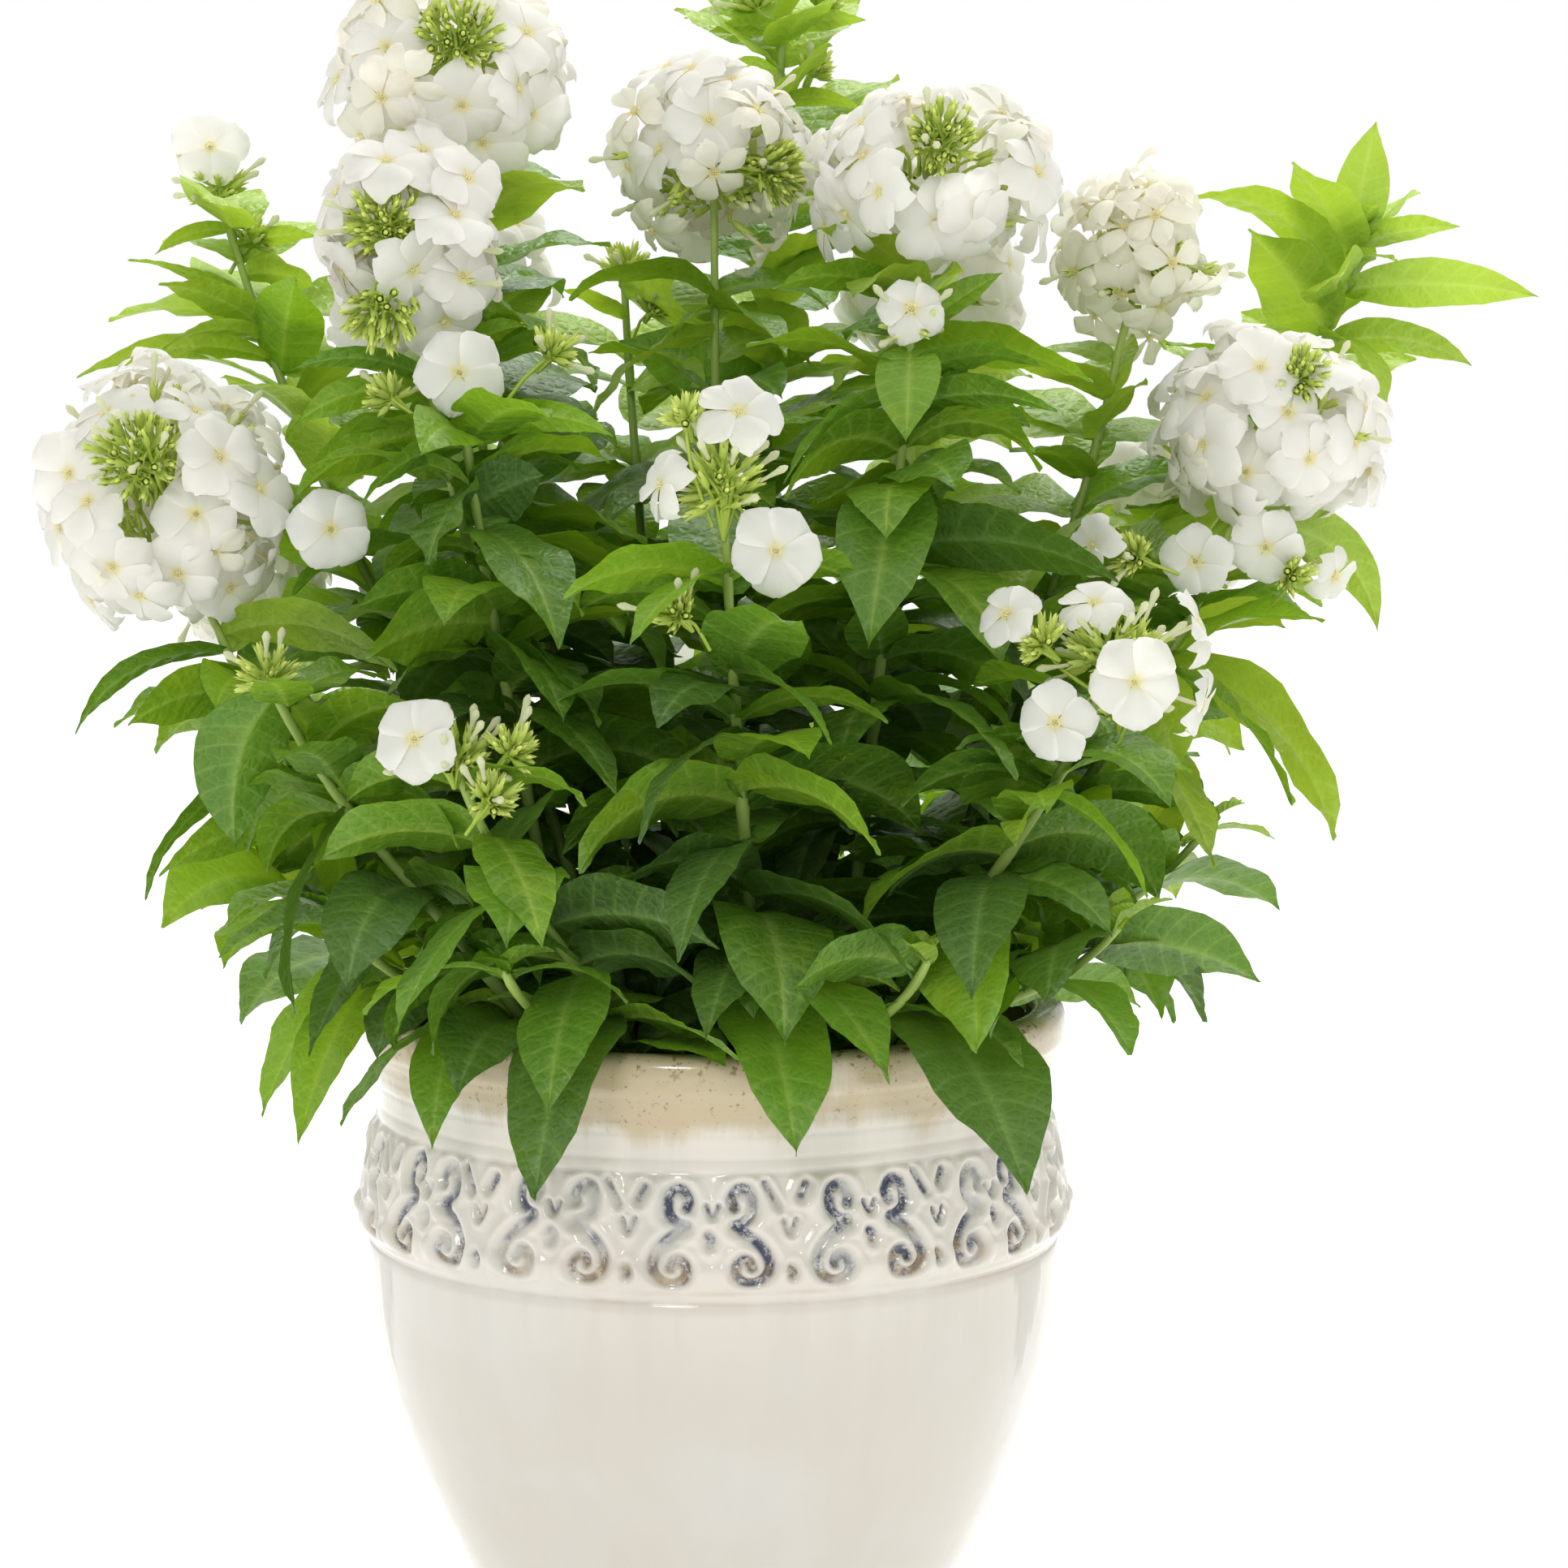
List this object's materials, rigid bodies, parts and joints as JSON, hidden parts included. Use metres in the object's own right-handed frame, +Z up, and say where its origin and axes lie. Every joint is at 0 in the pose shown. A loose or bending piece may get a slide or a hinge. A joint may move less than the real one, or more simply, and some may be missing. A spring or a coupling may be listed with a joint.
{
  "type": "potted garden phlox",
  "caption": "Garden phlox with rounded white flower heads and paired leaves on upright stems, growing in compost in a round glazed pot with a turned rim.",
  "frame": {"origin": "centre of the pot's flat underside", "axes": "+Z up through the pot's turning axis, -Z out of its underside, -Y towards the front of the plant"},
  "size_m": [0.621, 0.465, 0.737],
  "materials": {
    "glaze": "glossy ivory glaze with a tan rim and blue-grey relief",
    "compost": "dark moist potting compost",
    "stem": "smooth pale green stem",
    "leaf": "satin green leaf with pale veins",
    "petal": "soft white petal with a pale yellow throat"
  },
  "bodies": {
    "root": {"blooms_back_left": "petal", "blooms_back_left_top": "petal", "blooms_back_right": "petal", "blooms_back_right_top": "petal", "blooms_left_crown": "petal", "blooms_left_inner": "petal", "blooms_left_low": "petal", "blooms_middle": "petal", "blooms_right_big": "petal", "blooms_right_crown": "petal", "blooms_right_old": "petal", "compost": "compost", "foliage_back_left": "leaf", "foliage_back_left_top": "leaf", "foliage_back_right": "leaf", "foliage_back_right_top": "leaf", "foliage_front_left": "leaf", "foliage_front_middle": "leaf", "foliage_left_crown": "leaf", "foliage_left_inner": "leaf", "foliage_left_low": "leaf", "foliage_left_single": "leaf", "foliage_middle": "leaf", "foliage_right_big": "leaf", "foliage_right_crown": "leaf", "foliage_right_low": "leaf", "foliage_right_old": "leaf", "pot": "glaze", "shoot_back_low_left": "leaf", "shoot_back_low_right": "leaf", "shoot_back_middle": "leaf", "shoot_left_front": "leaf", "shoot_left_top": "leaf", "shoot_middle_back": "leaf", "shoot_middle_buds": "leaf", "shoot_middle_single": "leaf", "shoot_right_far": "leaf", "shoot_rim_back_left": "leaf", "shoot_rim_front_left": "leaf", "shoot_rim_front_right": "leaf", "shoot_rim_left": "leaf", "shoot_rim_left_front": "leaf", "shoot_rim_right": "leaf", "shoot_rim_right_front": "leaf", "stem_back_left": "stem", "stem_back_left_top": "stem", "stem_back_right": "stem", "stem_back_right_top": "stem", "stem_front_left": "stem", "stem_front_middle": "stem", "stem_left_crown": "stem", "stem_left_inner": "stem", "stem_left_low": "stem", "stem_left_single": "stem", "stem_middle": "stem", "stem_right_big": "stem", "stem_right_crown": "stem", "stem_right_low": "stem", "stem_right_old": "stem"}
  },
  "joints": []
}
